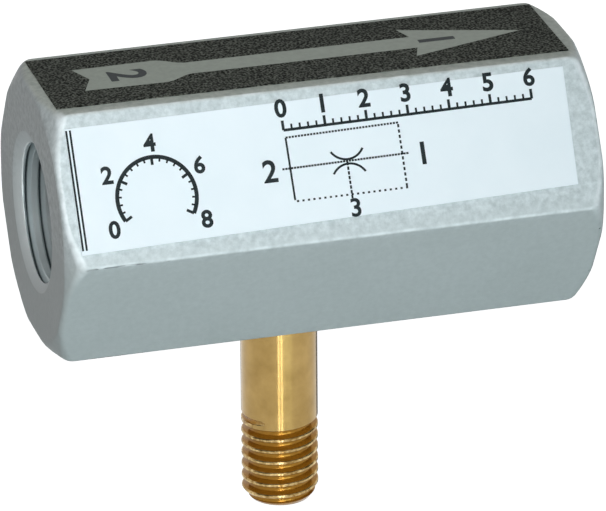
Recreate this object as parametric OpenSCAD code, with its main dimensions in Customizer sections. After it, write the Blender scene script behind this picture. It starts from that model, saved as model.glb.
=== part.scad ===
// Inline vacuum ejector: a hexagonal body with a supply port at one end, a vacuum port at the
// other and a brass exhaust tube standing out of one flat. Sizes are in millimetres.
// +X runs along the body from the vacuum port to the supply port, +Z points at the arrow label,
// and the origin is the centre of the vacuum port's mouth.

/* [Hexagonal body] */
// Width of the body across opposite flats
hex_across_flats = 17; // [16:0.5:24]
// Length of the body from end face to end face
body_length = 35.5; // [34:0.5:60]
// Depth turned off the six long corners
corner_break = 0.05; // [0.05:0.05:0.5]
// Distance from the middle of a flat to the round edge of the end face
end_face_inset = 0.1; // [0.05:0.05:1]
// Slope of the turned chamfer around each end face, measured from that face
end_chamfer_angle = 30; // [15:5:45]

/* [End ports, G1/8] */
// Tapping drill of the port's female thread
port_core_diameter = 8.8; // [8:0.1:9.2]
// Depth of the full bore, up to where the drill point starts
port_depth = 8.5; // [7:0.5:9.5]
// Diameter of the countersink at the port's mouth
port_mouth_diameter = 10.4; // [9.8:0.1:12]
// Included angle of that countersink
port_mouth_angle = 120; // [90:5:130]
// Included angle of the drill point that ends a blind bore
drill_point_angle = 118; // [90:1:140]

/* [Inner channels] */
// Diameter of the channel from the supply port to the jet nozzle
supply_channel_diameter = 2.4; // [1.6:0.1:2.4]
// Height of that channel above the body's axis
supply_channel_height = 3; // [2.4:0.1:3]
// Diameter of the chamber above the jet nozzle
supply_chamber_diameter = 3; // [2.6:0.1:3.4]
// Diameter of the channel from the vacuum port to the suction chamber
suction_channel_diameter = 2.4; // [1.6:0.1:2.6]
// Depth of that channel below the body's axis
suction_channel_drop = 2.8; // [2.4:0.1:2.9]
// Diameter of the suction chamber between the two nozzles
suction_chamber_diameter = 4.3; // [4.2:0.1:4.4]
// Height of the chamber wall left above and below the channel that opens into it
chamber_lip = 0.2; // [0.1:0.1:0.5]

/* [Exhaust tube, M5] */
// Distance of the tube's axis from the end face at the vacuum port
tube_offset = 16.2; // [14:0.1:18]
// Outer diameter of the tube and of the thread on it
tube_diameter = 5; // [4.9:0.1:6]
// Length of tube that stands out of the bottom flat
tube_standout = 13.5; // [8:0.5:30]
// Diameter of the thinner spigot that holds the tube in the body
spigot_diameter = 4.6; // [4.5:0.1:4.8]
// Gap between the spigot's end and the end of its seat
spigot_end_gap = 0.1; // [0.05:0.05:0.3]
// Width of the chamfer at the tube's free end
tube_chamfer = 0.5; // [0.2:0.1:0.8]
// Length of that chamfer along the tube
tube_chamfer_length = 0.7; // [0.3:0.1:1.5]
// Diameter of the funnel that catches the jet
catch_diameter = 3; // [2:0.1:3.6]
// Length of that funnel
catch_length = 2; // [1:0.5:4]
// Diameter of the narrow mixing bore
mixing_diameter = 1.4; // [1:0.1:2]
// Length of the narrow mixing bore
mixing_length = 5; // [3:0.5:7]
// Diameter at the end of the widening bore
outlet_diameter = 2.8; // [2:0.1:3.2]

/* [Jet nozzle] */
// Outer diameter of the nozzle's head
nozzle_diameter = 4; // [3.8:0.1:4.1]
// Diameter of the nozzle's inlet
nozzle_inlet_diameter = 1.5; // [1:0.1:1.8]
// Diameter of the jet orifice
orifice_diameter = 0.7; // [0.4:0.05:0.9]
// Length of the straight jet orifice
orifice_length = 1.2; // [0.6:0.1:2]
// Diameter of the nozzle's spout where it leaves the head
spout_base_diameter = 2.8; // [2:0.1:3.4]
// Diameter of the nozzle's spout at its tip
spout_tip_diameter = 1.4; // [1.2:0.1:1.9]
// Gap between the spout's tip and the tube's funnel
jet_gap = 0.8; // [0.4:0.1:1.2]

/* [Sealing rings] */
// Section diameter of the ring around the tube
tube_ring_thickness = 1; // [0.8:0.1:1.2]
// Section diameter of the ring around the jet nozzle
nozzle_ring_thickness = 0.8; // [0.6:0.1:0.9]
// Share of its section that a ring keeps when it is squeezed in its groove
ring_squeeze = 0.8; // [0.7:0.05:0.9]
// Length that each groove has beyond its ring's section
groove_play = 0.3; // [0.1:0.05:0.4]
// Clearance around the tube, the nozzle and the rings, on the radius
fit_clearance = 0.01; // [0.005:0.005:0.03]

/* [Labels] */
// Thickness of both labels
label_thickness = 0.1; // [0.05:0.01:0.3]
// Gap between the chamfer at the vacuum end and the arrow label
arrow_label_start_gap = 0.05; // [0:0.05:2]
// Gap between the arrow label and the chamfer at the supply end
arrow_label_end_gap = 0.25; // [0:0.05:2]
// Margin beside the arrow label on the back of its flat
arrow_label_back = 0.65; // [0.3:0.05:2]
// Margin beside the arrow label on the front of its flat
arrow_label_front = 1; // [0.3:0.05:2]
// Gap between the chamfer at the vacuum end and the type label
type_label_start_gap = 0.15; // [0:0.05:2]
// Gap between the type label and the chamfer at the supply end
type_label_end_gap = 1.2; // [0:0.05:3]
// How much further the type label's upper corner at the supply end reaches than its lower one
type_label_end_lean = 0.15; // [0:0.05:0.5]
// Margin above and below the type label at its vacuum end
type_label_near = 0.9; // [0.3:0.05:2]
// Margin above the type label at its supply end
type_label_far_upper = 0.55; // [0.3:0.05:2]
// Margin below the type label at its supply end
type_label_far_lower = 1.65; // [0.3:0.05:2]

/* [Hidden] */
$fn = 96;
// Margin by which a cut runs past the surface it starts from
overcut = 1;

// The hexagon: six flats, one facing straight up, so one corner lies at each side
HEX_SIDES = 6;
hex_turn = 360 / HEX_SIDES;
hex_apothem = hex_across_flats / 2;
hex_corner = hex_apothem / cos(hex_turn / 2);
flat_half = hex_apothem * tan(hex_turn / 2);

// What the lathe leaves: a cylinder that breaks the corners, and a cone at each end
turned_radius = hex_corner - corner_break;
end_face_radius = hex_apothem - end_face_inset;
chamfer_depth = (turned_radius - end_face_radius) * tan(end_chamfer_angle);

// Ends of the labels, measured along the body
arrow_label_start = chamfer_depth + arrow_label_start_gap;
arrow_label_end = body_length - chamfer_depth - arrow_label_end_gap;
type_label_start = chamfer_depth + type_label_start_gap;
type_label_end = body_length - chamfer_depth - type_label_end_gap;

// Heights along the stepped cross bore, from the blind end down
bore_top = supply_channel_height + supply_channel_diameter / 2 + chamber_lip;
nozzle_shoulder = supply_channel_height - supply_channel_diameter / 2 - chamber_lip;
suction_top = suction_channel_diameter / 2 + chamber_lip - suction_channel_drop;
spigot_seat_end = -suction_channel_drop - suction_channel_diameter / 2 - chamber_lip;
spigot_end = spigot_seat_end - spigot_end_gap;
nozzle_tip = spigot_end + jet_gap;
tube_end = -hex_apothem - tube_standout;

// Grooves in the middle of the tube's spigot and of the nozzle's head
tube_groove_middle = (spigot_end - hex_apothem) / 2;
nozzle_groove_middle = (nozzle_shoulder + suction_top) / 2;

// Half the length of a groove for a ring of this section
function groove_half(section) = (section + groove_play) / 2;

// Radius of the groove's floor under a ring that is squeezed inside a bore of this radius
function groove_floor(bore_radius, section) = bore_radius - section * ring_squeeze;

function drill_point(diameter) = diameter / 2 / tan(drill_point_angle / 2);

// Turns children so that what points up runs along the body
module along_body() {
    rotate([0, 90, 0])
        children();
}

// Puts children, drawn flat, on one of the flats: 0 is the top, 1 the next towards the front
module on_flat(index) {
    rotate([index * hex_turn, 0, 0])
        translate([0, 0, hex_apothem])
            children();
}

// Puts children on the axis that the tube and the jet nozzle share
module at_tube() {
    translate([tube_offset, 0, 0])
        children();
}

// The hexagonal bar before it is turned, with a corner at each side
module hexagonal_bar() {
    rotate([0, 0, hex_turn / 2])
        cylinder(h = body_length, r = hex_corner, $fn = HEX_SIDES);
}

// The round shape that the bar is turned to: broken corners and a chamfer at each end
module turned_envelope() {
    rotate_extrude()
        polygon([
            [0, 0],
            [end_face_radius, 0],
            [turned_radius, chamfer_depth],
            [turned_radius, body_length - chamfer_depth],
            [end_face_radius, body_length],
            [0, body_length]
        ]);
}

// Cutter for one port, with its mouth at the origin and the bore running up +Z
module port_cutter() {
    mouth_slope = tan(port_mouth_angle / 2);
    mouth_reach = port_mouth_diameter / 2 + overcut * mouth_slope;
    mouth_depth = (port_mouth_diameter - port_core_diameter) / 2 / mouth_slope;
    rotate_extrude()
        polygon([
            [0, -overcut],
            [mouth_reach, -overcut],
            [port_core_diameter / 2, mouth_depth],
            [port_core_diameter / 2, port_depth],
            [0, port_depth + drill_point(port_core_diameter)]
        ]);
}

// Cutter for the stepped bore that takes the tube, the two chambers and the jet nozzle
module cross_bore_cutter() {
    seat_radius = spigot_diameter / 2 + fit_clearance;
    head_radius = nozzle_diameter / 2 + fit_clearance;
    rotate_extrude()
        polygon([
            [0, -hex_apothem - overcut],
            [seat_radius, -hex_apothem - overcut],
            [seat_radius, spigot_seat_end],
            [suction_chamber_diameter / 2, spigot_seat_end],
            [suction_chamber_diameter / 2, suction_top],
            [head_radius, suction_top],
            [head_radius, nozzle_shoulder],
            [supply_chamber_diameter / 2, nozzle_shoulder],
            [supply_chamber_diameter / 2, bore_top],
            [0, bore_top + drill_point(supply_chamber_diameter)]
        ]);
}

// Cutter for a channel along the body, between two places on it
module channel_cutter(start, end, height, diameter) {
    translate([start, 0, height])
        along_body()
            cylinder(h = end - start, d = diameter);
}

// The body: a length of hexagonal bar, bored from both ends and from below
module hex_body() {
    color("#9DA6A6")
    difference() {
        along_body()
            intersection() {
                hexagonal_bar();
                turned_envelope();
            }
        along_body()
            port_cutter();
        translate([body_length, 0, 0])
            rotate([0, -90, 0])
                port_cutter();
        at_tube()
            cross_bore_cutter();
        channel_cutter(port_depth - overcut, tube_offset, -suction_channel_drop,
                       suction_channel_diameter);
        channel_cutter(tube_offset, body_length - port_depth + overcut, supply_channel_height,
                       supply_channel_diameter);
    }
}

// The exhaust tube: its spigot is pressed in until its shoulder meets the bottom flat. It catches
// the jet in a funnel, mixes it and slows it down on its way out.
module exhaust_tube() {
    outer = tube_diameter / 2;
    spigot = spigot_diameter / 2;
    floor_radius = groove_floor(spigot + fit_clearance, tube_ring_thickness);
    groove = groove_half(tube_ring_thickness);
    mixing_start = spigot_end - catch_length;
    color("#C9A45C")
    at_tube()
        rotate_extrude()
            polygon([
                [catch_diameter / 2, spigot_end],
                [spigot, spigot_end],
                [spigot, tube_groove_middle + groove],
                [floor_radius, tube_groove_middle + groove],
                [floor_radius, tube_groove_middle - groove],
                [spigot, tube_groove_middle - groove],
                [spigot, -hex_apothem],
                [outer, -hex_apothem],
                [outer, tube_end + tube_chamfer_length],
                [outer - tube_chamfer, tube_end],
                [outlet_diameter / 2, tube_end],
                [mixing_diameter / 2, mixing_start - mixing_length],
                [mixing_diameter / 2, mixing_start]
            ]);
}

// The jet nozzle: its head stops at the shoulder under the supply chamber
module jet_nozzle() {
    head = nozzle_diameter / 2;
    floor_radius = groove_floor(head + fit_clearance, nozzle_ring_thickness);
    groove = groove_half(nozzle_ring_thickness);
    color("#D4B36A")
    at_tube()
        rotate_extrude()
            polygon([
                [nozzle_inlet_diameter / 2, nozzle_shoulder],
                [head, nozzle_shoulder],
                [head, nozzle_groove_middle + groove],
                [floor_radius, nozzle_groove_middle + groove],
                [floor_radius, nozzle_groove_middle - groove],
                [head, nozzle_groove_middle - groove],
                [head, suction_top],
                [spout_base_diameter / 2, suction_top],
                [spout_tip_diameter / 2, nozzle_tip],
                [orifice_diameter / 2, nozzle_tip],
                [orifice_diameter / 2, nozzle_tip + orifice_length]
            ]);
}

// A sealing ring as it sits in its groove, squeezed flat against the bore and the floor
module squeezed_ring(bore_radius, section, height) {
    squeezed = section * ring_squeeze - 2 * fit_clearance;
    middle = bore_radius - section * ring_squeeze / 2;
    translate([0, 0, height])
        rotate_extrude()
            translate([middle, 0])
                intersection() {
                    circle(d = section);
                    square([squeezed, section], center = true);
                }
}

module tube_ring() {
    color("#2B2B2B")
    at_tube()
        squeezed_ring(spigot_diameter / 2 + fit_clearance, tube_ring_thickness,
                      tube_groove_middle);
}

module nozzle_ring() {
    color("#2B2B2B")
    at_tube()
        squeezed_ring(nozzle_diameter / 2 + fit_clearance, nozzle_ring_thickness,
                      nozzle_groove_middle);
}

// Black foil label that carries the flow arrow
module arrow_label() {
    color("#3A3A38")
    on_flat(0)
        linear_extrude(label_thickness)
            polygon([
                [arrow_label_start, arrow_label_front - flat_half],
                [arrow_label_end, arrow_label_front - flat_half],
                [arrow_label_end, flat_half - arrow_label_back],
                [arrow_label_start, flat_half - arrow_label_back]
            ]);
}

// White label on the flat towards the front, cut and stuck on slightly askew
module type_label() {
    color("#F2F6FA")
    on_flat(1)
        linear_extrude(label_thickness)
            polygon([
                [type_label_start, type_label_near - flat_half],
                [type_label_end, type_label_far_lower - flat_half],
                [type_label_end + type_label_end_lean, flat_half - type_label_far_upper],
                [type_label_start, flat_half - type_label_near]
            ]);
}

hex_body();
exhaust_tube();
jet_nozzle();
tube_ring();
nozzle_ring();
arrow_label();
type_label();
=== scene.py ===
# %% [markdown]
# # Vacuum ejector with a screw-in exhaust tube
# Compressed air enters one end of this small hexagonal block, leaves through a brass tube, and draws
# a vacuum at the other end. The lesson dresses the finished CAD model: a lacquered hexagon bar with
# two threaded ports, a turned brass tube, two stuck-on labels and their print.
# The CAD model is loaded first, as a fixed frame. Every piece is made in metres, right where the CAD
# has it, and its place is read from the CAD nodes.

# %% Load the CAD frame
import math

import bpy
from mathutils import Matrix, Vector


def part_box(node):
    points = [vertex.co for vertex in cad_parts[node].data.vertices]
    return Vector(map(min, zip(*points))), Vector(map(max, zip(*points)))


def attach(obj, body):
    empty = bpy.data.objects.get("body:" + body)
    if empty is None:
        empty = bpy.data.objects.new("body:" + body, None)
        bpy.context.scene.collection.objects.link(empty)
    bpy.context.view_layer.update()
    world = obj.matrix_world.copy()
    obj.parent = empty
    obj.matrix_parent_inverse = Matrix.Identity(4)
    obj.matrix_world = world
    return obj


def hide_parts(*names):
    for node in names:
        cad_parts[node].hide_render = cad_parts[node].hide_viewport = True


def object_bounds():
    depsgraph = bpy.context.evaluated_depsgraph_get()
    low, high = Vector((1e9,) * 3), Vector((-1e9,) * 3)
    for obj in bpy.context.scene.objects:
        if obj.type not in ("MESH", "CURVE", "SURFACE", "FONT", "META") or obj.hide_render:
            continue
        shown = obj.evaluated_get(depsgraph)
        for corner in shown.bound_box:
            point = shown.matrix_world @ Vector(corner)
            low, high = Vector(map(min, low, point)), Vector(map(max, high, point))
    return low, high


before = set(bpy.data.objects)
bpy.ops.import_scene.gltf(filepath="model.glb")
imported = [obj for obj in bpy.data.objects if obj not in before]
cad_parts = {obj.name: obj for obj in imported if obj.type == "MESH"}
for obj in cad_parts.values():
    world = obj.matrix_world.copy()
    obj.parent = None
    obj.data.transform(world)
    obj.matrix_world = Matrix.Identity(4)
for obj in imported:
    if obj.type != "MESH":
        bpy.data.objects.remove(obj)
cad_low, cad_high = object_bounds()
MM = 0.001

_, body_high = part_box("hex_body")
tube_low, tube_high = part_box("exhaust_tube")
body_length = body_high.x
apothem = body_high.z
tube_axis = (tube_low.x + tube_high.x) / 2
tube_radius = (tube_high.x - tube_low.x) / 2
print("body", round(body_length / MM, 2), "mm long,", round(2 * apothem / MM, 2), "mm across flats")
print("tube axis at", round(tube_axis / MM, 2), "mm, tube", round(2 * tube_radius / MM, 2), "mm thick")

# %% [markdown]
# ## Camera
# A small product is shown best from some way off with a long lens, which keeps its parallel edges
# nearly parallel. The camera stands a little to the left of the front and looks down on the labels.
# A camera could be pointed by hand, but three angles, a distance and the point it looks at say the
# same thing in a way that can be read and changed.

# %% Camera
CAMERA_TURN = 15.789
CAMERA_TILT = 23.796
CAMERA_ROLL = -0.454
CAMERA_DISTANCE = 440.6 * MM
CAMERA_LENS = 408.1
AIM_SIDEWAYS = 0.163 * MM
AIM_DOWN = 4.832 * MM


def camera_axes(turn, tilt, roll):
    """The camera's right, up and forward directions, from three angles in degrees."""
    turn, tilt, roll = (math.radians(a) for a in (turn, tilt, roll))
    ahead = Vector((math.sin(turn) * math.cos(tilt), math.cos(turn) * math.cos(tilt), -math.sin(tilt)))
    level = Vector((math.cos(turn), -math.sin(turn), 0))
    above = level.cross(ahead)
    right = math.cos(roll) * level + math.sin(roll) * above
    return right, right.cross(ahead), ahead


right, above, ahead = camera_axes(CAMERA_TURN, CAMERA_TILT, CAMERA_ROLL)
aim = Vector((body_length / 2, 0, 0)) + AIM_SIDEWAYS * right - AIM_DOWN * above
camera = bpy.data.objects.new("camera", bpy.data.cameras.new("camera"))
bpy.context.scene.collection.objects.link(camera)
camera.matrix_world = Matrix.Translation(aim - CAMERA_DISTANCE * ahead) @ Matrix(
    (right, above, -ahead)).transposed().to_4x4()
camera.data.lens = CAMERA_LENS
camera.data.clip_start = 0.01
camera.data.clip_end = 50
bpy.context.scene.camera = camera
bpy.context.scene.view_settings.view_transform = "Standard"
print("camera", round(CAMERA_DISTANCE / MM), "mm away, lens", CAMERA_LENS)

# %% [markdown]
# ## Colours and nodes
# Paint charts give colours as sRGB hex values, but shaders work with linear light, so one
# function turns the one into the other. A second small function adds a node, sets its fields and
# inputs, and joins its links. Most materials here are a few patterns, masks and blends in a row, so
# each of those steps gets a short name too, and a material then reads like its own description.

# %% Colour and node helpers
def linear(hex_colour):
    """An sRGB hex colour as linear RGBA."""
    parts = [int(hex_colour[i:i + 2], 16) / 255 for i in (0, 2, 4)]
    return [c / 12.92 if c <= 0.04045 else ((c + 0.055) / 1.055) ** 2.4 for c in parts] + [1.0]


def add_node(tree, kind, fields=None, inputs=None, links=None):
    """Adds a node, sets its fields and its inputs' values, and joins other nodes' outputs to its inputs."""
    node = tree.nodes.new(kind)
    for field, value in (fields or {}).items():
        setattr(node, field, value)
    for socket, value in (inputs or {}).items():
        node.inputs[socket].default_value = value
    for socket, source in (links or {}).items():
        tree.links.new(source, node.inputs[socket])
    return node


def new_material(name):
    """An empty node material, with the Object coordinates that its patterns read and its output."""
    material = bpy.data.materials.new(name)
    material.use_nodes = True
    tree = material.node_tree
    tree.nodes.clear()
    place = add_node(tree, "ShaderNodeTexCoord").outputs["Object"]
    output = add_node(tree, "ShaderNodeOutputMaterial")
    return material, tree, place, output


print("white is", [round(c, 3) for c in linear("FFFFFF")])


# %% Patterns and masks
def noise(tree, place, scale, detail, roughness=0.5):
    """A noise pattern; its scale is in waves per metre."""
    return add_node(tree, "ShaderNodeTexNoise",
                    inputs={"Scale": scale, "Detail": detail, "Roughness": roughness},
                    links={"Vector": place}).outputs["Fac"]


def mask(tree, value, start, end, bottom=0.0, top=1.0):
    """Runs from bottom to top while the value goes from start to end."""
    return add_node(tree, "ShaderNodeMapRange",
                    inputs={"From Min": start, "From Max": end, "To Min": bottom, "To Max": top},
                    links={"Value": value}).outputs["Result"]


def times(tree, first, *others):
    """The product of several masks."""
    product = first
    for other in others:
        product = add_node(tree, "ShaderNodeMath", {"operation": "MULTIPLY"},
                           links={0: product, 1: other}).outputs[0]
    return product


def blend(tree, share, one, other, way="MIX"):
    """Goes from one colour to the other by a share; a colour is a hex value or a node's output."""
    sides = {"Color1": one, "Color2": other}
    fixed = {side: linear(colour) for side, colour in sides.items() if isinstance(colour, str)}
    joined = {side: colour for side, colour in sides.items() if side not in fixed}
    return add_node(tree, "ShaderNodeMixRGB", {"blend_type": way}, fixed,
                    {"Fac": share, **joined}).outputs["Color"]


def ramp(tree, share, start, end):
    """A colour that changes between two (share, hex colour) stops and is flat outside them."""
    node = add_node(tree, "ShaderNodeValToRGB", links={"Fac": share})
    for element, (position, colour) in zip(node.color_ramp.elements, (start, end)):
        element.position = position
        element.color = linear(colour)
    return node.outputs["Color"]


def bump(tree, height, strength, distance, **more):
    """Tilts the surface as if the height pattern stood out of it by that distance."""
    return add_node(tree, "ShaderNodeBump", inputs={"Strength": strength, "Distance": distance},
                    links={"Height": height, **more}).outputs["Normal"]


def surface(tree, output, values, links):
    """A Principled shader with these values and links, as the material's surface."""
    shader = add_node(tree, "ShaderNodeBsdfPrincipled", inputs=values, links=links)
    tree.links.new(shader.outputs[0], output.inputs["Surface"])


def show_white(tree, plain, white):
    """The white shader for the camera and for rays off gloss or through glass, and else the plain one."""
    path = add_node(tree, "ShaderNodeLightPath").outputs
    seen = path["Is Camera Ray"]
    for ray in ("Is Glossy Ray", "Is Transmission Ray"):
        seen = add_node(tree, "ShaderNodeMath", {"operation": "MAXIMUM"},
                        links={0: seen, 1: path[ray]}).outputs[0]
    return add_node(tree, "ShaderNodeMixShader", links={0: seen, 1: plain, 2: white}).outputs[0]


print("patterns and masks ready")

# %% [markdown]
# ## Floor, backdrop and light
# The ejector hangs by its vacuum port, so the floor lies clear below the tube. A white background is
# often made by flooding it with light, but that light would spill onto the object. Here the floor and
# the world are simply white to the camera, and to rays that come off gloss or through glass, while
# the floor keeps a diffuse part that takes the object's shadow.

# %% Floor and backdrop
FLOOR_DROP = 60 * MM
FLOOR_SIZE = 6.0
FLOOR_GREY = "C9CCCC"
FLOOR_GLOW = 0.92

floor_paint, tree, place, output = new_material("pale studio floor")
plain = add_node(tree, "ShaderNodeBsdfDiffuse", inputs={"Color": linear(FLOOR_GREY)})
glow = add_node(tree, "ShaderNodeEmission", inputs={"Color": linear("FFFFFF"), "Strength": FLOOR_GLOW})
lit = add_node(tree, "ShaderNodeAddShader", links={0: plain.outputs[0], 1: glow.outputs[0]})
tree.links.new(show_white(tree, plain.outputs[0], lit.outputs[0]), output.inputs["Surface"])

bpy.ops.mesh.primitive_plane_add(size=FLOOR_SIZE, location=(body_length / 2, 0, cad_low.z - FLOOR_DROP))
floor = bpy.context.object
floor.name = "floor"
floor.data.materials.append(floor_paint)
print("floor", round(FLOOR_DROP / MM), "mm below the tube")

# %% World light
AMBIENT = 0.045

world = bpy.data.worlds.new("studio")
bpy.context.scene.world = world
world.use_nodes = True
tree = world.node_tree
tree.nodes.clear()
soft_light = add_node(tree, "ShaderNodeBackground", inputs={"Color": linear("FFFFFF"), "Strength": AMBIENT})
backdrop = add_node(tree, "ShaderNodeBackground", inputs={"Color": linear("FFFFFF"), "Strength": 1.0})
add_node(tree, "ShaderNodeOutputWorld",
         links={"Surface": show_white(tree, soft_light.outputs[0], backdrop.outputs[0])})
print("ambient light", AMBIENT)

# %% [markdown]
# ### Lamps
# The labels face a large key lamp high on the left, and the fill, low and right lamps are wider and
# weaker, so no side goes black. A small near lamp makes the light fall off along the body, as it does
# when a real lamp stands close. Brass shows lamps rather than light: two narrow strips in front of the
# tube draw the double line down it, and only gloss sees them. The lamps behind and beside the block
# light its matt sides alone, or they would glare in the metal.

# %% Lamps
def softbox(name, turn, height, distance, width, tallness, power, colour="FFFFFF", matt=True, gloss=True):
    """A rectangular soft lamp round the body's middle; turn 0 is in front, 90 on the supply side.
    Matt surfaces ignore it where matt is False, and shiny ones where gloss is False."""
    turn, height = math.radians(turn), math.radians(height)
    back = Vector((math.sin(turn) * math.cos(height), -math.cos(turn) * math.cos(height), math.sin(height)))
    lamp = bpy.data.lights.new(name, "AREA")
    lamp.shape = "RECTANGLE"
    lamp.size, lamp.size_y = width, tallness
    lamp.energy = power
    lamp.color = linear(colour)[:3]
    holder = bpy.data.objects.new(name, lamp)
    bpy.context.scene.collection.objects.link(holder)
    holder.location = Vector((body_length / 2, 0, 0)) + distance * back
    holder.rotation_mode = "QUATERNION"
    holder.rotation_quaternion = (-back).to_track_quat("-Z", "Y")
    holder.visible_camera = False
    holder.visible_diffuse = matt
    holder.visible_glossy = gloss


# Turn and height are in degrees, distance and size in metres, and power in watts.
softbox("key_softbox", -16, 34, 0.2, 0.08, 0.08, 0.145)
softbox("near_softbox", -17, 33, 0.062, 0.03, 0.03, 0.0072, "F0F8FF")
softbox("left_softbox", -35, 38, 0.18, 0.06, 0.06, 0.034, "FFF8F0")
softbox("fill_softbox", 18, 34, 0.5, 0.25, 0.25, 0.27, "D8F2FF")
softbox("low_softbox", 3, -12, 0.3, 0.2, 0.1, 0.285, "E2FCFC")
for name, turn in (("left_strip", -17), ("right_strip", -8.5)):
    softbox(name, turn, 0, 0.1, 0.003, 0.16, 0.0122, matt=False)
softbox("back_softbox", 162, 4, 0.5, 0.3, 0.1, 0.9, gloss=False)
softbox("right_softbox", 90, 0, 0.5, 0.1, 0.1, 0.24, gloss=False)

# %% [markdown]
# ### Dark cards
# A polished tube in a white room mirrors the white at its two sides and seems to melt into it. In a
# studio a dark card then stands behind each side, just out of view, and the metal mirrors that
# instead. The cards here are seen in gloss alone, so they neither shade the floor nor dim the lacquer.

# %% Dark cards
CARD_DISTANCE = 110 * MM
CARD_HEIGHT = 40 * MM
CARD_GLOW = 0.2

card_paint, tree, place, output = new_material("dark studio card")
shade = add_node(tree, "ShaderNodeEmission", inputs={"Color": linear("FFFFFF"), "Strength": CARD_GLOW})
tree.links.new(shade.outputs[0], output.inputs["Surface"])
for name, turn, width in (("right_card", 146, 60 * MM), ("left_card", 175, 30 * MM)):
    turn = math.radians(turn)
    stand = (tube_axis + CARD_DISTANCE * math.sin(turn), -CARD_DISTANCE * math.cos(turn),
             cad_low.z - FLOOR_DROP + CARD_HEIGHT / 2)
    bpy.ops.mesh.primitive_plane_add(size=1, rotation=(math.pi / 2, 0, turn), location=stand)
    card = bpy.context.object
    card.name = name
    card.scale = (width, CARD_HEIGHT, 1)
    card.data.materials.append(card_paint)
    for ray in ("camera", "diffuse", "shadow", "transmission"):
        setattr(card, "visible_" + ray, False)
print("dark cards", round(CARD_DISTANCE / MM), "mm behind the tube")

# %% [markdown]
# ## Small workshop helpers
# Operators act on whatever is selected, and loading the frame leaves the CAD nodes selected, so each
# step starts from a clear selection. A cut is a Boolean difference with a tool shape that is thrown
# away afterwards, as a drill is taken out of its hole.


# %% Selection, cutting and finishing
def select_only(*objects):
    """Selects just these objects and makes the first one active."""
    bpy.ops.object.select_all(action="DESELECT")
    for o in objects:
        o.select_set(True)
    bpy.context.view_layer.objects.active = objects[0]


def apply_place(piece):
    """Moves the object's place, turn and scale into its mesh."""
    select_only(piece)
    bpy.ops.object.transform_apply(location=True, rotation=True, scale=True)


def apply_modifiers(piece):
    """Applies every modifier in order."""
    select_only(piece)
    for modifier in list(piece.modifiers):
        bpy.ops.object.modifier_apply(modifier=modifier.name)


def cut(piece, tool, location=(0, 0, 0), rotation=(0, 0, 0)):
    """Puts the tool shape in its place, cuts it out of the piece and throws it away."""
    tool.location = location
    tool.rotation_euler = rotation
    apply_place(tool)
    boolean = piece.modifiers.new(tool.name, "BOOLEAN")
    boolean.object = tool
    boolean.operation = "DIFFERENCE"
    boolean.solver = "EXACT"
    apply_modifiers(piece)
    bpy.data.objects.remove(tool)


def edit_all(piece):
    """Opens the piece for editing with all of its mesh selected."""
    select_only(piece)
    bpy.ops.object.mode_set(mode="EDIT")
    bpy.ops.mesh.select_all(action="SELECT")


def tidy_normals(piece):
    """Merges doubled points and turns all faces outwards."""
    edit_all(piece)
    bpy.ops.mesh.remove_doubles(threshold=1e-7)
    bpy.ops.mesh.normals_make_consistent(inside=False)
    bpy.ops.object.mode_set(mode="OBJECT")


def smooth(piece, angle):
    """Smooth shading with sharp edges past the angle, weighted so that flats stay flat."""
    select_only(piece)
    bpy.ops.object.shade_smooth_by_angle(angle=math.radians(angle))
    weighted = piece.modifiers.new("weighted", "WEIGHTED_NORMAL")
    weighted.mode = "FACE_AREA"
    weighted.keep_sharp = True
    apply_modifiers(piece)


def finish(piece, name, material, replaced=()):
    """Names the finished piece, gives it its material, and lets it ride on the CAD body."""
    piece.name = name
    piece.data.name = name
    piece.data.materials.clear()
    piece.data.materials.append(material)
    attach(piece, "root")
    if replaced:
        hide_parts(*replaced)
    print(name, len(piece.data.polygons), "faces,", [round(d / MM, 2) for d in piece.dimensions], "mm")


# %% [markdown]
# ## Turned shapes and thread tools
# Holes, tubes and countersinks are all round, so one helper makes them: half of the section is drawn
# as a closed outline of points, and Spin carries it round the axis, as a lathe turns the work past
# its tool. A thread is the same outline carried round while it moves along, which is what the Screw
# modifier does. Its ends are then closed, and its last turn is drawn out of the work so that the
# groove fades away as it does behind a tap or a die.


# %% Turned shapes
def outline_ring(name, points):
    """A closed ring of edges through the points, from a circle with as many corners."""
    bpy.ops.object.select_all(action="DESELECT")
    bpy.ops.mesh.primitive_circle_add(vertices=len(points), radius=1, fill_type="NOTHING")
    ring = bpy.context.object
    ring.name = name
    for vertex, point in zip(ring.data.vertices, points):
        vertex.co = point
    return ring


def turned(name, section, steps):
    """Spins a closed section of (radius, height) points round the Z axis into a solid."""
    shape = outline_ring(name, [(radius, 0, height) for radius, height in section])
    edit_all(shape)
    bpy.ops.mesh.spin(steps=steps, angle=2 * math.pi, center=(0, 0, 0), axis=(0, 0, 1))
    bpy.ops.object.mode_set(mode="OBJECT")
    tidy_normals(shape)
    return shape


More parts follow.
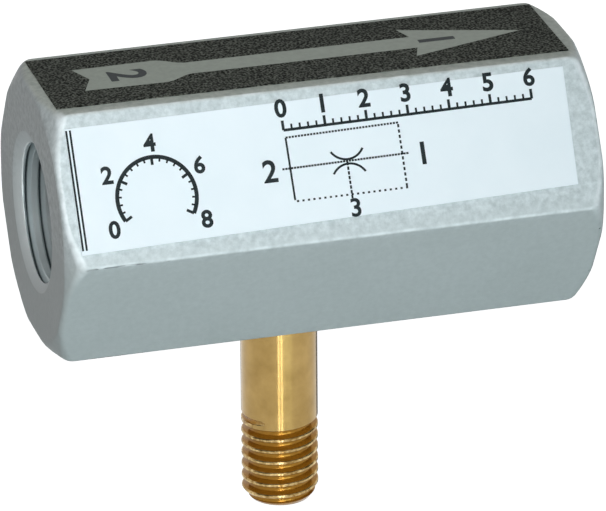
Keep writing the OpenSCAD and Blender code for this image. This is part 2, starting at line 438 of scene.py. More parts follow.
# %% Thread tools
def thread_tool(name, section, pitch, turns, steps, start, fade, fade_turns=1.0):
    """A ridge of (radius, height) points that winds up the Z axis right-handed from start.
    Over its last fade_turns it drifts outwards by fade, or inwards where fade is negative."""
    tool = outline_ring(name, [(radius, 0, height) for radius, height in section])
    screw = tool.modifiers.new("screw", "SCREW")
    screw.axis = "Z"
    screw.angle = 2 * math.pi
    screw.screw_offset = pitch
    screw.iterations = turns
    screw.steps = screw.render_steps = steps
    apply_modifiers(tool)
    middle = sum(height for _, height in section) / len(section)
    for vertex in tool.data.vertices:
        along = math.atan2(vertex.co.y, vertex.co.x) / (2 * math.pi) % 1
        wound = round((vertex.co.z - middle) / pitch - along) + along
        drift = max(0.0, (wound - turns) / fade_turns + 1) * fade
        radius = math.hypot(vertex.co.x, vertex.co.y)
        vertex.co.x *= (radius + drift) / radius
        vertex.co.y *= (radius + drift) / radius
        vertex.co.z += start
    edit_all(tool)
    bpy.ops.mesh.fill_holes(sides=0)
    bpy.ops.object.mode_set(mode="OBJECT")
    tidy_normals(tool)
    return tool


# %% [markdown]
# ## The body
# The real body starts as a bar of 17 mm hexagon aluminium, drawn at the mill, so its six long corners
# are slightly round. A lathe faces both ends and turns a 30 degree chamfer on them, which bites into
# the corners and just grazes the middles of the flats, and a thick lacquer softens every edge.
# A bevel would have to be wider than the chamfer where that fades out, and would tear there. So a
# cylinder with enough rings and columns is made instead, and each point is put where a small ball
# rolling inside the bar, the chamfer and the end face would touch, which rounds every edge alike.

# %% Sizes of the body
EDGE_ROUND = 0.38 * MM
CORNER_ROUND = 1.0 * MM
CHAMFER_ANGLE = math.radians(30)
END_FACE_RADIUS = apothem - 0.1 * MM
FLAT_COLUMNS = 28
CORNER_COLUMNS = 6

corner_reach = body_high.y
sharp_reach = apothem / math.cos(math.radians(30))
corner_round = (sharp_reach - corner_reach) / (1 / math.cos(math.radians(30)) - 1)
print("long corners rounded to", round(corner_round / MM, 3), "mm")


# %% Section of the bar
def bar_section():
    """Points (y, z) round the hexagon bar, with its long corners rounded, flat by flat."""
    half = (apothem - corner_round) * math.tan(math.radians(30))
    points = []
    for flat in range(6):
        turn = math.radians(60 * flat)
        across = [half * (2 * i / (FLAT_COLUMNS - 1) - 1) for i in range(FLAT_COLUMNS)]
        local = [(s, apothem) for s in across]
        for i in range(1, CORNER_COLUMNS):
            lean = math.radians(60) * i / CORNER_COLUMNS
            local.append((half + corner_round * math.sin(lean),
                          apothem - corner_round + corner_round * math.cos(lean)))
        points += [(s * math.cos(turn) + n * math.sin(turn), n * math.cos(turn) - s * math.sin(turn))
                   for s, n in local]
    return points


def end_rows(reach):
    """(distance from the end, radius) of each ring at an end, for a column that far from the axis."""
    sin, tan = math.sin(CHAMFER_ANGLE), math.tan(CHAMFER_ANGLE)
    towards_corner = max(0.0, (reach - apothem) / (corner_reach - apothem))
    ball = EDGE_ROUND + (CORNER_ROUND - EDGE_ROUND) * towards_corner ** 1.5
    crest = reach - ball
    cone = END_FACE_RADIUS - ball * sin - ball * math.cos(CHAMFER_ANGLE) / tan
    face_corner = (ball, min(cone + ball / tan, crest - 0.02 * MM))
    side_corner = (max((crest - cone) * tan, ball + 0.012 * MM), crest)
    rows = []
    for corner, angles in ((face_corner, (0, 7.5, 15, 22.5, 30)), (side_corner, (30, 42, 54, 66, 78, 90))):
        for angle in (math.radians(a) for a in angles):
            rows.append((corner[0] - ball * math.cos(angle), corner[1] + ball * math.sin(angle)))
    return rows


section = bar_section()
print(len(section), "columns,", len(end_rows(apothem)), "rings at each end")

# %% Shape the bar
rings = 2 * len(end_rows(apothem))
bpy.ops.object.select_all(action="DESELECT")
bpy.ops.mesh.primitive_cylinder_add(vertices=len(section), radius=apothem, depth=body_length,
                                    location=(body_length / 2, 0, 0), rotation=(0, math.pi / 2, 0))
bar = bpy.context.object
apply_place(bar)
bpy.ops.object.mode_set(mode="EDIT")
bpy.ops.mesh.select_mode(type="EDGE")
bpy.ops.mesh.select_all(action="DESELECT")
bpy.ops.object.mode_set(mode="OBJECT")
for edge in bar.data.edges:
    one, other = (bar.data.vertices[i].co.x for i in edge.vertices)
    edge.select = abs(one - other) > body_length / 2
bpy.ops.object.mode_set(mode="EDIT")
bpy.ops.mesh.subdivide(number_cuts=rings - 2)
bpy.ops.mesh.select_mode(type="VERT")
bpy.ops.object.mode_set(mode="OBJECT")

for vertex in bar.data.vertices:
    ring = round(vertex.co.x / body_length * (rings - 1))
    turn = math.atan2(vertex.co.y, vertex.co.z) / (2 * math.pi) % 1
    y, z = section[round(turn * len(section)) % len(section)]
    reach = math.hypot(y, z)
    rows = end_rows(reach)
    row = min(ring, rings - 1 - ring)
    inset, radius = rows[row]
    vertex.co = (inset if ring < rings / 2 else body_length - inset, y * radius / reach, z * radius / reach)
tidy_normals(bar)
print("bar", len(bar.data.vertices), "points")

# %% [markdown]
# ### Ports
# Each end is drilled, tapped with a G 1/8 pipe thread and countersunk, so the mouth is a bright ring
# with the first turns of the thread behind it. The drill leaves a 118 degree point. The groove could
# be faked with a bump, but it shows in the mouth's edge, so it is cut: a rounded 55 degree ridge is
# wound into a tool and taken out of the wall. The same two tools serve both ends, turned to face them.

# %% Port tools
PORT_RADIUS = 4.4 * MM
PORT_DEPTH = 8.5 * MM
MOUTH_RADIUS = 5.2 * MM
MOUTH_ROUND = 0.12 * MM
THREAD_PITCH = 0.907 * MM
THREAD_ROOT = 4.864 * MM
DRILL_POINT = math.radians(118)
PROUD = 0.6 * MM


def port_drill():
    """The drill and countersink for one port, pointing up the Z axis from the end face at zero."""
    slope = (MOUTH_RADIUS - PORT_RADIUS) * math.tan(math.radians(30))
    tip = PORT_DEPTH + PORT_RADIUS / math.tan(DRILL_POINT / 2)
    section = [(0, -PROUD), (MOUTH_RADIUS + 0.5 * MM, -PROUD), (MOUTH_RADIUS + 0.5 * MM, -0.05 * MM),
               (MOUTH_RADIUS + MOUTH_ROUND, -0.004 * MM), (MOUTH_RADIUS + 0.04 * MM, 0.012 * MM),
               (MOUTH_RADIUS - 0.03 * MM, 0.04 * MM), (PORT_RADIUS + 0.05 * MM, slope - 0.03 * MM),
               (PORT_RADIUS + 0.015 * MM, slope), (PORT_RADIUS, slope + 0.05 * MM),
               (PORT_RADIUS, PORT_DEPTH), (0, tip)]
    return turned("port_drill", section, 96)


def port_tap():
    """The thread groove for one port: a rounded 55 degree ridge wound up the Z axis."""
    flank = [(PORT_RADIUS - 0.12 * MM, -0.30 * MM), (PORT_RADIUS, -0.262 * MM),
             (PORT_RADIUS + 0.05 * MM, -0.222 * MM), (THREAD_ROOT - 0.10 * MM, -0.082 * MM),
             (THREAD_ROOT - 0.02 * MM, -0.04 * MM)]
    section = flank + [(THREAD_ROOT, 0)] + [(radius, -height) for radius, height in reversed(flank)]
    return thread_tool("port_tap", section, THREAD_PITCH, 9, 72, -1.25 * MM, THREAD_ROOT * -0.13)


def cut_both_ends(make_tool):
    """Cuts the bar with the tool at the vacuum end, and with a second one turned to the supply end."""
    for end, turn in ((0, 90), (body_length, -90)):
        cut(bar, make_tool(), (end, 0, 0), (0, math.radians(turn), 0))


cut_both_ends(port_drill)
print("ports drilled,", len(bar.data.polygons), "faces")

# %% [markdown]
# ### Inner passages
# From below, a stepped hole takes the tube and, above it, the small jet nozzle. One short drilled
# channel joins the supply port to the space over the nozzle, and another joins the vacuum port to the
# space round its tip. None of this shows from outside, but it is what makes the block an ejector, and
# a section through the model shows it.

# %% Inner passages
CLEARANCE = 0.01 * MM
SUPPLY_CHAMBER = 1.5 * MM
SUCTION_CHAMBER = 2.15 * MM
SEAT_RADIUS = 2.31 * MM
SEAT_TOP = -4.2 * MM
BORE_TOP = 4.4 * MM
SUCTION_TOP = -1.4 * MM

nozzle_low, nozzle_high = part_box("jet_nozzle")
nozzle_bore = (nozzle_high.x - nozzle_low.x) / 2 + CLEARANCE
nozzle_top = nozzle_high.z + CLEARANCE
cross_section = [(0, -apothem - PROUD), (SEAT_RADIUS, -apothem - PROUD), (SEAT_RADIUS, SEAT_TOP),
                 (SUCTION_CHAMBER, SEAT_TOP), (SUCTION_CHAMBER, SUCTION_TOP),
                 (nozzle_bore, SUCTION_TOP), (nozzle_bore, nozzle_top),
                 (SUPPLY_CHAMBER, nozzle_top), (SUPPLY_CHAMBER, BORE_TOP),
                 (0, BORE_TOP + SUPPLY_CHAMBER / math.tan(DRILL_POINT / 2))]
cut(bar, turned("cross_bore", cross_section, 48), (tube_axis, 0, 0))

CHANNEL_RADIUS = 1.2 * MM
CHANNEL_START = PORT_DEPTH - 0.05 * MM
for name, height, start, end in (("supply_channel", 3.0 * MM, tube_axis, body_length - CHANNEL_START),
                                 ("suction_channel", -2.8 * MM, CHANNEL_START, tube_axis)):
    channel = turned(name, [(0, start), (CHANNEL_RADIUS, start), (CHANNEL_RADIUS, end), (0, end)], 32)
    cut(bar, channel, (0, 0, height), (0, math.radians(90), 0))
print("passages cut,", len(bar.data.polygons), "faces")

# %% [markdown]
# ### Port threads
# The taps go in last, as on the real block. In Blender that has a second reason: a cut that crossed a
# thread would have hundreds of small faces to split, and could leave the block open.

# %% Tap the ports
cut_both_ends(port_tap)
print("ports tapped,", len(bar.data.polygons), "faces")

# %% [markdown]
# ### Lacquer
# The block is sprayed with a silver-grey lacquer. Fine aluminium flakes in it give a satin metal look
# that is brighter where a flat faces a lamp, the film levels into a very faint orange peel, and dust
# and small dents leave marks. A single grey would look like plastic, so the flakes, the peel and a
# slow drift of colour each get a noise at their own scale. On top come painted light and a few nicks:
# blotches of painted sheen on the upper sides, painted shade that turns what faces up warmer and
# darker, a painted highlight in a broken line over the front edges, and a paler painted ring in each
# countersink.

# %% Silver-grey lacquer
lacquer, tree, place, output = new_material("silver-grey lacquer on aluminium")
axes = add_node(tree, "ShaderNodeSeparateXYZ", links={"Vector": place}).outputs
tone = blend(tree, noise(tree, place, 180.0, 2.0), "BAC2C2", "C3CACB")
# Blotches about half a millimetre wide, plainer on the upper sides, are painted sheen for the mottled
# glints of the lamps in the orange peel there.
upper_sheen_share = mask(tree, axes["Z"], -0.6 * MM, 1 * MM, 0.12, 0.55)
sheen_blotches = ramp(tree, noise(tree, place, 2400.0, 3.0, 0.65), (0.3, "A8B2B4"), (0.7, "E4EBED"))
with_sheen = blend(tree, upper_sheen_share, tone, sheen_blotches)
# Painted shade: what faces up is turned a warmer, darker grey, for the dimmer light on the top.
normal = add_node(tree, "ShaderNodeNewGeometry").outputs["Normal"]
facing = add_node(tree, "ShaderNodeSeparateXYZ", links={"Vector": normal}).outputs
top_shaded = blend(tree, mask(tree, facing["Z"], 0.56, 0.95), with_sheen, "E8E6DB", "MULTIPLY")
# Painted highlight: the upper front edges are painted bright in a broken line, where they catch the light.
edge = add_node(tree, "ShaderNodeAttribute", {"attribute_name": "edge"}).outputs["Fac"]
front = mask(tree, axes["Y"], -3.8 * MM, -5.2 * MM, 0.1, 1.0)
edge_highlight_share = times(tree, edge, mask(tree, noise(tree, place, 1100.0, 3.0), 0.35, 0.62, 0.25, 0.85),
               front, mask(tree, axes["Z"], -1.5 * MM, 0.2 * MM))
painted_highlights = blend(tree, edge_highlight_share, top_shaded, "F2F8FA")
# Painted highlight: the countersinks are painted paler towards the port, where they catch the light.
mouth = add_node(tree, "ShaderNodeAttribute", {"attribute_name": "mouth"}).outputs["Fac"]
painted_highlights = blend(tree, mouth, painted_highlights, "EDF4F6")
# The nicks are short streaks along the front edge, under its crest and close to the vacuum end.
stretch = add_node(tree, "ShaderNodeMapping", inputs={"Scale": (800.0, 3800.0, 3800.0)},
                   links={"Vector": place}).outputs["Vector"]
shallow = mask(tree, axes["X"], 12 * MM, 4 * MM, 0.72, 0.5)
deep = add_node(tree, "ShaderNodeMath", {"operation": "SUBTRACT"},
                links={0: noise(tree, stretch, 1.0, 1.0), 1: shallow}).outputs[0]
nicks = times(tree, mask(tree, deep, 0.0, 0.05), mask(tree, edge, 0.15, 0.5), front,
              mask(tree, axes["X"], 1.0 * MM, 1.8 * MM), mask(tree, axes["Z"], 0.05 * MM, -0.1 * MM))
colour = blend(tree, nicks, painted_highlights, "4C5556")
peel = bump(tree, noise(tree, place, 900.0, 2.0), 0.25, 0.02 * MM)
grain = bump(tree, noise(tree, place, 5200.0, 1.0), 0.25, 0.01 * MM, Normal=peel)
nicked = add_node(tree, "ShaderNodeBump", {"invert": True}, {"Strength": 0.5, "Distance": 0.01 * MM},
                  {"Height": nicks, "Normal": grain}).outputs["Normal"]
surface(tree, output, {"Metallic": 0.05, "Roughness": 0.36, "Specular IOR Level": 0.03},
        {"Base Color": colour, "Normal": nicked})
print("lacquer has", len(tree.nodes), "nodes")

# %% [markdown]
# ### Bare ports
# The ports are tapped after spraying, so their threads are bare aluminium with a trace of oil. The
# metal mirrors the mouth and the dark of the bore side by side, and painted shade darkens the roots,
# which together draw the thread.

# %% Tapped aluminium
tapped, tree, place, output = new_material("tapped bare aluminium")
tone = blend(tree, noise(tree, place, 700.0, 3.0), "D2DCDE", "E4ECEE")
# Painted shade: the roots of the thread are darkened into dark lines, for the shade in the groove behind
# each crest.
flattened = add_node(tree, "ShaderNodeMapping", inputs={"Scale": (0, 1, 1)},
                     links={"Vector": place}).outputs["Vector"]
from_axis = add_node(tree, "ShaderNodeVectorMath", {"operation": "LENGTH"},
                     links={0: flattened}).outputs["Value"]
root_shade = mask(tree, from_axis, THREAD_ROOT - 0.13 * MM, THREAD_ROOT - 0.02 * MM)
surface(tree, output, {"Metallic": 0.4, "Roughness": 0.25, "Specular IOR Level": 0.3},
        {"Base Color": blend(tree, root_shade, tone, "333E40")})

smooth(bar, 28)
finish(bar, "body", lacquer, ["hex_body"])
bar.data.materials.append(tapped)
for face in bar.data.polygons:
    inset = min(face.center.x, body_length - face.center.x)
    if math.hypot(face.center.y, face.center.z) < THREAD_ROOT and inset > 0.4 * MM:
        face.material_index = 1
print("bare faces in the ports", sum(f.material_index for f in bar.data.polygons))

# %% [markdown]
# ### Where the edges catch the light
# The material paints a highlight on the edges and puts nicks along them, so it has to know where they
# are. It could feel for them round each point, but that is slow and noisy. The mesh knows it already:
# each point's direction says how far it is from the flats, the end faces and the chamfers, and that
# number is stored with it. A second number marks the countersinks, for a painted highlight that grows
# paler towards the port.


# %% Rounded edges
def edge_share(normal):
    """How far a direction is from the flats, end faces and chamfers: 0 on them, 1 midway."""
    around = math.degrees(math.atan2(normal.y, normal.z)) % 60
    corner = min(around, 60 - around) / 30
    lean = math.degrees(math.acos(min(1.0, abs(normal.x))))
    if lean < 30:
        return lean * (30 - lean) / 450
    rim = (lean - 30) * (90 - lean) / 900
    return max(rim, corner * max(0.0, (lean - 60) / 30))


edge = bar.data.attributes.new("edge", "FLOAT", "POINT")
mouth = bar.data.attributes.new("mouth", "FLOAT", "POINT")
for vertex in bar.data.vertices:
    radius = math.hypot(vertex.co.y, vertex.co.z)
    inset = min(vertex.co.x, body_length - vertex.co.x)
    outside = radius > MOUTH_RADIUS + 1 * MM and inset > 0.01 * MM
    edge.data[vertex.index].value = edge_share(vertex.normal) if outside else 0.0
    # A painted highlight on the countersinks rises towards the port.
    countersunk = PORT_RADIUS - 0.1 * MM < radius < MOUTH_RADIUS and inset < 0.6 * MM
    inwards = (MOUTH_RADIUS - radius) / (MOUTH_RADIUS - PORT_RADIUS)
    mouth.data[vertex.index].value = 0.45 + 0.55 * inwards if countersunk else 0.0
print("rounded edges found on", sum(e.value > 0.3 for e in edge.data), "points")

# %% [markdown]
# ## The exhaust tube
# The tube is turned from brass: a plain shank, an M5 thread cut with a die on its lower end, a
# chamfered tip, and inside a bore that narrows to a throat and widens again to slow the air down.
# A thinner spigot with a groove for its seal ring goes up into the body. One section spun round the
# axis gives all of it, and a 60 degree groove tool cuts the thread.

# %% Tube
TUBE_CHAMFER = 0.5 * MM
TUBE_CHAMFER_LENGTH = 0.7 * MM
SPIGOT_RADIUS = 2.3 * MM
GROOVE_RADIUS = 1.52 * MM
MIXING_RADIUS = 0.7 * MM
MIXING_LENGTH = 5 * MM
CATCH_RADIUS = 1.5 * MM
CATCH_LENGTH = 2 * MM
OUTLET_RADIUS = 1.4 * MM
M5_PITCH = 0.8 * MM
M5_DEPTH = 0.47 * MM
M5_LENGTH = 6.02 * MM
M5_TURNS = 9
THREAD_END_TURN = math.radians(-117)

ring_low, ring_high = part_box("tube_ring")
tip, top = tube_low.z, tube_high.z
shoulder = -apothem
throat_top = top - CATCH_LENGTH
throat_end = throat_top - MIXING_LENGTH
tube_section = [(OUTLET_RADIUS + 0.06 * MM, tip), (tube_radius - TUBE_CHAMFER - 0.05 * MM, tip),
                (tube_radius - TUBE_CHAMFER + 0.02 * MM, tip + 0.03 * MM),
                (tube_radius, tip + TUBE_CHAMFER_LENGTH), (tube_radius, shoulder),
                (SPIGOT_RADIUS, shoulder), (SPIGOT_RADIUS, ring_low.z), (GROOVE_RADIUS, ring_low.z),
                (GROOVE_RADIUS, ring_high.z), (SPIGOT_RADIUS, ring_high.z), (SPIGOT_RADIUS, top),
                (CATCH_RADIUS, top), (MIXING_RADIUS, throat_top), (MIXING_RADIUS, throat_end),
                (OUTLET_RADIUS, tip + 0.06 * MM)]
tube = turned("tube_blank", tube_section, 128)

# Half of the groove's section, as (height over its root, distance from its middle).
half_section = [(0, 0.1 * MM), (0.015 * MM, 0.14 * MM), (0.06 * MM, 0.175 * MM),
                (M5_DEPTH - 0.1 * MM, 0.262 * MM), (M5_DEPTH - 0.045 * MM, 0.292 * MM),
                (M5_DEPTH - 0.012 * MM, 0.322 * MM), (M5_DEPTH + 0.012 * MM, 0.352 * MM)]
die_section = [(tube_radius - M5_DEPTH + rise, side * across)
               for side, half in ((-1, reversed(half_section)), (1, half_section)) for rise, across in half]
die = thread_tool("die", die_section, M5_PITCH, M5_TURNS, 96, tip + M5_LENGTH - M5_TURNS * M5_PITCH,
                  M5_DEPTH * 1.1, 0.3)
cut(tube, die, rotation=(0, 0, THREAD_END_TURN))
tube.location = (tube_axis, 0, 0)
apply_place(tube)

# %% [markdown]
# ### Brass
# Free-cutting brass comes off the lathe bright yellow, with very fine rings from the tool. Metal has
# no diffuse colour of its own: what it shows is its reflection, so it needs a dark side, a bright
# strip and a roughness that blurs them. The rings are a wave pattern along the axis, and a slow noise
# dulls the metal here and there as fingers and cutting oil do.

# %% Turned brass
brass, tree, place, output = new_material("turned brass")
stain = noise(tree, place, 620.0, 5.0, 0.6)
tone = blend(tree, stain, "80632A", "BD9E62")
stretch = add_node(tree, "ShaderNodeMapping", inputs={"Scale": (60.0, 60.0, 14000.0)},
                   links={"Vector": place}).outputs["Vector"]
lathe_rings = bump(tree, noise(tree, stretch, 1.0, 2.0), 0.28, 0.008 * MM)
surface(tree, output,
        {"Metallic": 1.0, "Anisotropic": 0.7, "Anisotropic Rotation": 0.25,
         "Coat Weight": 0.32, "Coat Roughness": 0.04},
        {"Base Color": tone, "Roughness": mask(tree, stain, 0.0, 1.0, 0.13, 0.28), "Normal": lathe_rings})
smooth(tube, 32)
finish(tube, "tube", brass, ["exhaust_tube"])

# %% [markdown]
# ### Thread brass
# A die leaves smoother metal than the lathe. Below the crests the thread is painted brown: painted
# shade for the shaded groove, and painted reflection of the body's dark underside in it. The bare
# crests mirror the lamps as small glints, and painted bright spots on them add more. Two colours on
# two sets of faces would meet in a hard line. Here the distance from the tube's axis blends them.

# %% Die-cut thread
cut_brass, tree, place, output = new_material("die-cut brass thread")
centred = add_node(tree, "ShaderNodeMapping", inputs={"Location": (-tube_axis, 0, 0), "Scale": (1, 1, 0)},
                   links={"Vector": place}).outputs["Vector"]
from_axis = add_node(tree, "ShaderNodeVectorMath", {"operation": "LENGTH"},
                     links={0: centred}).outputs["Value"]
in_groove = mask(tree, from_axis, tube_radius - 0.04 * MM, tube_radius - 0.1 * MM)
grime_and_glints = noise(tree, place, 2600.0, 4.0, 0.65)
# Painted shade and reflection: the groove's brown; painted glints: the bright spots in the crest colour.
groove_shade = blend(tree, grime_and_glints, "8C6014", "B27F28")
crest = blend(tree, mask(tree, grime_and_glints, 0.4, 0.68), "8A6C3C", "DAC18C")
surface(tree, output, {"Roughness": 0.14, "Specular IOR Level": 0.25},
        {"Base Color": blend(tree, in_groove, crest, groove_shade),
         "Metallic": mask(tree, in_groove, 0.0, 1.0, 1.0, 0.5),
         "Normal": bump(tree, grime_and_glints, 0.3, 0.012 * MM)})

tube.data.materials.append(cut_brass)
thread_top = tip + M5_LENGTH
for face in tube.data.polygons:
    reach = math.hypot(face.center.x - tube_axis, face.center.y)
    outer_wall = reach > tube_radius - M5_DEPTH - 0.1 * MM
    uncut = reach > tube_radius - 0.005 * MM and face.center.z > thread_top - 0.5 * M5_PITCH
    if outer_wall and not uncut and face.center.z < thread_top + 0.3 * M5_PITCH:
        face.material_index = 1
print("thread faces", sum(f.material_index for f in tube.data.polygons))

# %% [markdown]
# ## Labels
# Two stickers tell the fitter how to connect the block: a black foil on top, whose arrow shows which
# way the air goes, and a white film on the front flat. They were stuck on by hand, a little askew.
# A sticker could be a patch of colour in the lacquer's material, but then it would have no edge to
# catch the light. So each is a thin plate: its corners come from its CAD node, it is filled, extruded
# to its thickness, bevelled, and turned onto its flat.


# %% Plates on a flat
def on_flat(piece, flat):
    """Turns a piece that was drawn over the top flat onto the flat that many places to the front."""
    piece.rotation_euler = (math.radians(60 * flat), 0, 0)
    apply_place(piece)


def plate(name, points, bottom, thickness, flat, bevel=0.0):
    """A thin plate with an outline of (along, across) points, on a flat of the body."""
    piece = outline_ring(name, [(x, s, bottom) for x, s in points])
    edit_all(piece)
    bpy.ops.mesh.edge_face_add()
    bpy.ops.mesh.extrude_region_move(TRANSFORM_OT_translate={"value": (0, 0, thickness)})
    if bevel:
        bpy.ops.mesh.bevel(offset=bevel, segments=2, affect="EDGES")
    bpy.ops.object.mode_set(mode="OBJECT")
    tidy_normals(piece)
    on_flat(piece, flat)
    return piece


def label_corners(node, flat):
    """The outer corners of a label's CAD node, as (along, across) points on its flat."""
    flatten = Matrix.Rotation(math.radians(-60 * flat), 3, "X")
    points = [flatten @ vertex.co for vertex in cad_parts[node].data.vertices]
    corners = {(round(p.x, 6), round(p.y, 6)) for p in points}
    centre_x = sum(x for x, _ in corners) / len(corners)
    centre_s = sum(s for _, s in corners) / len(corners)
    return sorted(corners, key=lambda c: math.atan2(c[1] - centre_s, c[0] - centre_x))


LABEL_THICKNESS = 0.085 * MM
PRINT_THICKNESS = 0.012 * MM
print_bottom = apothem + LABEL_THICKNESS - 0.002 * MM
arrow_corners = label_corners("arrow_label", 0)
type_corners = label_corners("type_label", 1)
print("arrow label", [(round(x / MM, 2), round(s / MM, 2)) for x, s in arrow_corners])
print("type label", [(round(x / MM, 2), round(s / MM, 2)) for x, s in type_corners])

# %% [markdown]
# ### Black foil
# The arrow label is a metallised film, printed black all round the arrow, so the arrow is the bare
# foil. The ink lies on a fine grain and shows tiny paler specks, with a few larger ones where it was
# scuffed. The grain of the real film is too fine to see from here, so it is drawn at 0.1 mm.

# %% Black printed foil
black_foil, tree, place, output = new_material("black printed foil")
grain = noise(tree, place, 6500.0, 1.0)
surface(tree, output, {"Roughness": 0.7, "Specular IOR Level": 0.03},
        {"Base Color": ramp(tree, grain, (0.4, "0C0E0B"), (0.68, "72756D")),
         "Normal": bump(tree, grain, 0.2, 0.01 * MM)})

arrow_plate = plate("arrow_plate", arrow_corners, apothem, LABEL_THICKNESS, 0, bevel=0.02 * MM)
smooth(arrow_plate, 40)
finish(arrow_plate, "arrow_plate", black_foil, ["arrow_label"])

# %% [markdown]
# ### Arrow and port numbers
# The arrow is one outline: a notched tail that swells, an S-curve into the shaft, and a long head
# with swept barbs. Half of it is listed and the other half is its mirror image. The port numbers are
# text, made a mesh and scaled to the height they need.


# %% Arrow
def arrow_outline():
    """Points of the arrow, from the notch in its tail round its head and back."""
    tail_half, swell_half, shaft_half, barb_half, middle = 1.77, 1.845, 0.935, 2.285, 0.13
    side = [(3.27, tail_half), (8.6, swell_half)]
    for step in range(1, 12):
        t = step / 12
        side.append((8.6 + 1.9 * t, swell_half - (swell_half - shaft_half) * t * t * (3 - 2 * t)))
    side += [(10.5, shaft_half), (25.35, shaft_half), (24.9, barb_half)]
    lower = [(x, middle - s) for x, s in side]
    upper = [(x, middle + s) for x, s in reversed(side)]
    return [(x * MM, s * MM) for x, s in [(4.0, middle), *lower, (32.47, middle), *upper]]


bare_foil, tree, place, output = new_material("bare satin foil")
tone = blend(tree, noise(tree, place, 2600.0, 2.0), "787F76", "8F978C")
surface(tree, output, {"Metallic": 0.25, "Roughness": 0.5}, {"Base Color": tone})

arrow = plate("arrow", arrow_outline(), print_bottom, PRINT_THICKNESS, 0)
finish(arrow, "arrow_print", bare_foil)


# %% Printed numbers
def number(text, centre, height, turn=0.0, weight=0.0):
    """A flat number of that height in mm, turned anticlockwise, with strokes widened by weight."""
    bpy.ops.object.select_all(action="DESELECT")
    bpy.ops.object.text_add(location=(0, 0, 0))
    figure = bpy.context.object
    figure.data.body = text
    figure.data.size = 1.0
    figure.data.offset = weight
    figure.data.resolution_u = 4
    figure.data.extrude = 0.5
    bpy.ops.object.convert(target="MESH")
    low = [min(v.co[i] for v in figure.data.vertices) for i in range(3)]
    high = [max(v.co[i] for v in figure.data.vertices) for i in range(3)]
    figure.data.transform(Matrix.Translation([-(a + b) / 2 for a, b in zip(low, high)]))
    size = height * MM / (high[1] - low[1])
    figure.scale = (size, size, PRINT_THICKNESS)
    figure.rotation_euler = (0, 0, math.radians(turn))
    figure.location = (centre[0] * MM, centre[1] * MM, print_bottom + PRINT_THICKNESS / 2)
    apply_place(figure)
    tidy_normals(figure)
    return figure


def join(pieces, name):
    """Joins the pieces into the first one."""
    select_only(*pieces)
    bpy.ops.object.join()
    pieces[0].name = name
    return pieces[0]


print_ink, tree, place, output = new_material("dark printing ink")
tone = blend(tree, noise(tree, place, 5000.0, 1.0), "12181A", "262E30")
surface(tree, output, {"Roughness": 0.45, "Specular IOR Level": 0.1}, {"Base Color": tone})

on_tail = number("2", (6.5, 0.14), 2.5, -90, 0.03)
on_head = number("1", (26.9, 0.16), 2.4, -90, 0.03)
arrow_numbers = join([on_tail, on_head], "arrow_numbers")
arrow_numbers.data.transform(Matrix.Translation((0, 0, PRINT_THICKNESS * 0.2)))
finish(arrow_numbers, "arrow_numbers", print_ink)

# %% [markdown]
# ### White film
# The type label is a white polyester film with a satin face. It is not perfectly flat: the adhesive
# leaves long faint waves, and handling leaves small marks. The waves are a bump with features some
# millimetres long, and a second noise greys it very slightly, mostly where fingers rubbed.

# %% White label film
film, tree, place, output = new_material("satin white polyester film")
tone = blend(tree, noise(tree, place, 320.0, 4.0), "E6EFF4", "F0F6FA")
waves = bump(tree, noise(tree, place, 260.0, 1.0), 0.3, 0.05 * MM)
surface(tree, output, {"Roughness": 0.5, "Specular IOR Level": 0.15},
        {"Base Color": tone, "Normal": waves})

type_plate = plate("type_plate", type_corners, apothem, LABEL_THICKNESS, 1, bevel=0.02 * MM)
smooth(type_plate, 40)
finish(type_plate, "type_plate", film, ["type_label"])

# %% [markdown]
# ### Ejector symbol
# The symbol is the usual one: a nozzle drawn as two arcs that nearly touch, the line of the air
# through it, the exhaust line going down, and a box of broken lines round them. A bar is a plate with
# four corners, an arc is a row of points with a width, and a broken line is one short dash, copied
# along by an Array modifier.


# %% Bars, arcs and broken lines
def bar_between(start, end, width):
    """A straight printed bar between two points, in mm."""
    along = (Vector(end) - Vector(start)).normalized()
    side = Vector((-along.y, along.x)) * width / 2
    ends = [Vector(start) - side, Vector(end) - side, Vector(end) + side, Vector(start) + side]
    return plate("bar", [(p.x * MM, p.y * MM) for p in ends], print_bottom, PRINT_THICKNESS, 0)


def around(centre, radius, turn):
    """The point at that distance and angle from the centre."""
    return centre[0] + radius * math.cos(turn), centre[1] + radius * math.sin(turn)


def arc(centre, radius, start, end, width, steps=14):
    """A printed arc between two angles in degrees, in mm."""
    turns = [math.radians(start + (end - start) * i / steps) for i in range(steps + 1)]
    outer = [around(centre, radius + width / 2, t) for t in turns]
    inner = [around(centre, radius - width / 2, t) for t in reversed(turns)]
    return plate("arc", [(x * MM, s * MM) for x, s in outer + inner], print_bottom, PRINT_THICKNESS, 0)


def broken_line(start, end, width, count, share):
    """Count dashes from start to end, each filling that share of its step, in mm."""
    step = (Vector(end) - Vector(start)) / (count - 1 + share)
    dash = bar_between(start, Vector(start) + step * share, width)
    repeat = dash.modifiers.new("repeat", "ARRAY")
    repeat.count = count
    repeat.use_relative_offset = False
    repeat.use_constant_offset = True
    repeat.constant_offset_displace = (step.x * MM, step.y * MM, 0)
    apply_modifiers(dash)
    return dash


def print_on_film(parts, name):
    """Joins parts in dark ink into one piece and turns it onto the flat of the white film."""
    piece = join(parts, name)
    on_flat(piece, 1)
    finish(piece, name, print_ink)


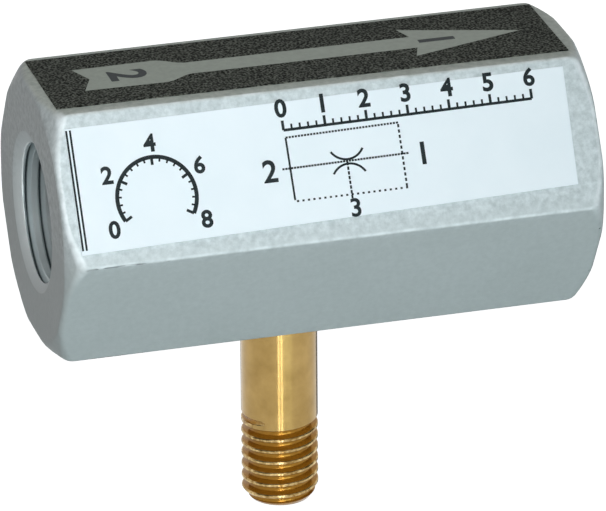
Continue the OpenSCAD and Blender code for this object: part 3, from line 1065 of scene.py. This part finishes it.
# %% Symbol
STROKE = 0.13
print_on_film([
    bar_between((14.96, 1.86), (15.0, -2.12), STROKE),
    broken_line((14.96, 1.87), (22.36, 2.0), STROKE, 37, 0.72),
    broken_line((22.34, 1.9), (22.34, -2.1), STROKE, 12, 0.62),
    broken_line((15.1, -2.2), (22.4, -2.16), STROKE, 21, 0.4),
    broken_line((14.46, -0.1), (22.75, 0.0), STROKE, 44, 0.8),
    broken_line((18.71, -0.1), (18.71, -2.43), STROKE, 8, 0.75),
    arc((18.76, 1.28), 1.22, 212, 330, STROKE * 1.1),
    arc((18.76, -1.44), 1.22, 30, 148, STROKE * 1.1),
], "symbol_print")

# %% [markdown]
# ### Numbers, scale and dial
# Plain figures mark the three ports. The rest of the label carries a straight scale and a round dial
# with plain numbers, both made of the same bars, arcs and figures, and a double line closes its end.

# %% Port numbers and edge lines
print_on_film([number("2", (13.65, -0.13), 1.45, 0, 0.02), number("1", (23.7, -0.11), 1.45, 0, 0.02),
               number("3", (18.84, -3.03), 1.2, 0, 0.02)], "port_numbers")
print_on_film([bar_between((x, 3.9), (x, -3.72), STROKE) for x in (1.03, 1.27)], "edge_lines")

# %% Straight scale
SCALE_START, SCALE_END = 14.9, 31.3
SCALE_LIFT, SCALE_LEAN = 2.35, 0.17
SCALE_TICKS = 30

scale_parts = [bar_between((SCALE_START, SCALE_LIFT), (SCALE_END, SCALE_LIFT + SCALE_LEAN), 0.18)]
for tick in range(SCALE_TICKS + 1):
    share = tick / SCALE_TICKS
    x, s = SCALE_START + share * (SCALE_END - SCALE_START), SCALE_LIFT + share * SCALE_LEAN
    numbered = tick % 5 == 0
    height, width = (0.62, 0.18) if numbered else (0.36, 0.13)
    scale_parts.append(bar_between((x, s), (x, s + height), width))
    if numbered:
        scale_parts.append(number(str(tick // 5), (x, s + 1.4), 1.2, 0, 0.03))
print_on_film(scale_parts, "scale_print")

# %% Round dial
DIAL_CENTRE, DIAL_RADIUS = (6.2, -0.9), 2.55
DIAL_START, DIAL_END = 210, -30
DIAL_TICKS = 20
DIAL_STEP = (DIAL_START - DIAL_END) / DIAL_TICKS

dial_parts = [arc(DIAL_CENTRE, DIAL_RADIUS, DIAL_END, DIAL_START, 0.26, 48)]
for tick in range(DIAL_TICKS + 1):
    turn = math.radians(DIAL_START - DIAL_STEP * tick)
    numbered = tick % 5 == 0
    length, width = (0.5, 0.18) if numbered else (0.3, 0.12)
    ends = [around(DIAL_CENTRE, reach, turn) for reach in (DIAL_RADIUS - length, DIAL_RADIUS)]
    dial_parts.append(bar_between(*ends, width))
    if numbered:
        figure_at = around(DIAL_CENTRE, DIAL_RADIUS + 0.9, turn)
        dial_parts.append(number(str(tick // 5 * 2), figure_at, 1.15, 0, 0.03))
print_on_film(dial_parts, "dial_print")

# %% [markdown]
# ## Nozzle and seal rings
# The jet nozzle and the two O-rings sit inside the body, and their CAD shapes are already what they
# should be. They stay and only get their materials: the tube's brass, and black nitrile rubber, which
# is slightly dusty and never quite black.

# %% Nozzle and seal rings
rubber, tree, place, output = new_material("nitrile rubber")
tone = blend(tree, noise(tree, place, 1500.0, 2.0), "1B1C1C", "2A2B2B")
surface(tree, output, {"Roughness": 0.6, "IOR": 1.52}, {"Base Color": tone})

for node_name, material in (("jet_nozzle", brass), ("tube_ring", rubber), ("nozzle_ring", rubber)):
    for material_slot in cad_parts[node_name].material_slots:
        material_slot.material = material
print("inner pieces have their materials")

# %% [markdown]
# ## Size
# The dressed part has to fill the CAD model's box, or a piece sits in the wrong place or at the wrong
# scale. The CAD model's box is printed.

# %% The CAD's box
print("CAD box", [round(v / MM, 3) for v in (*cad_low, *cad_high)])
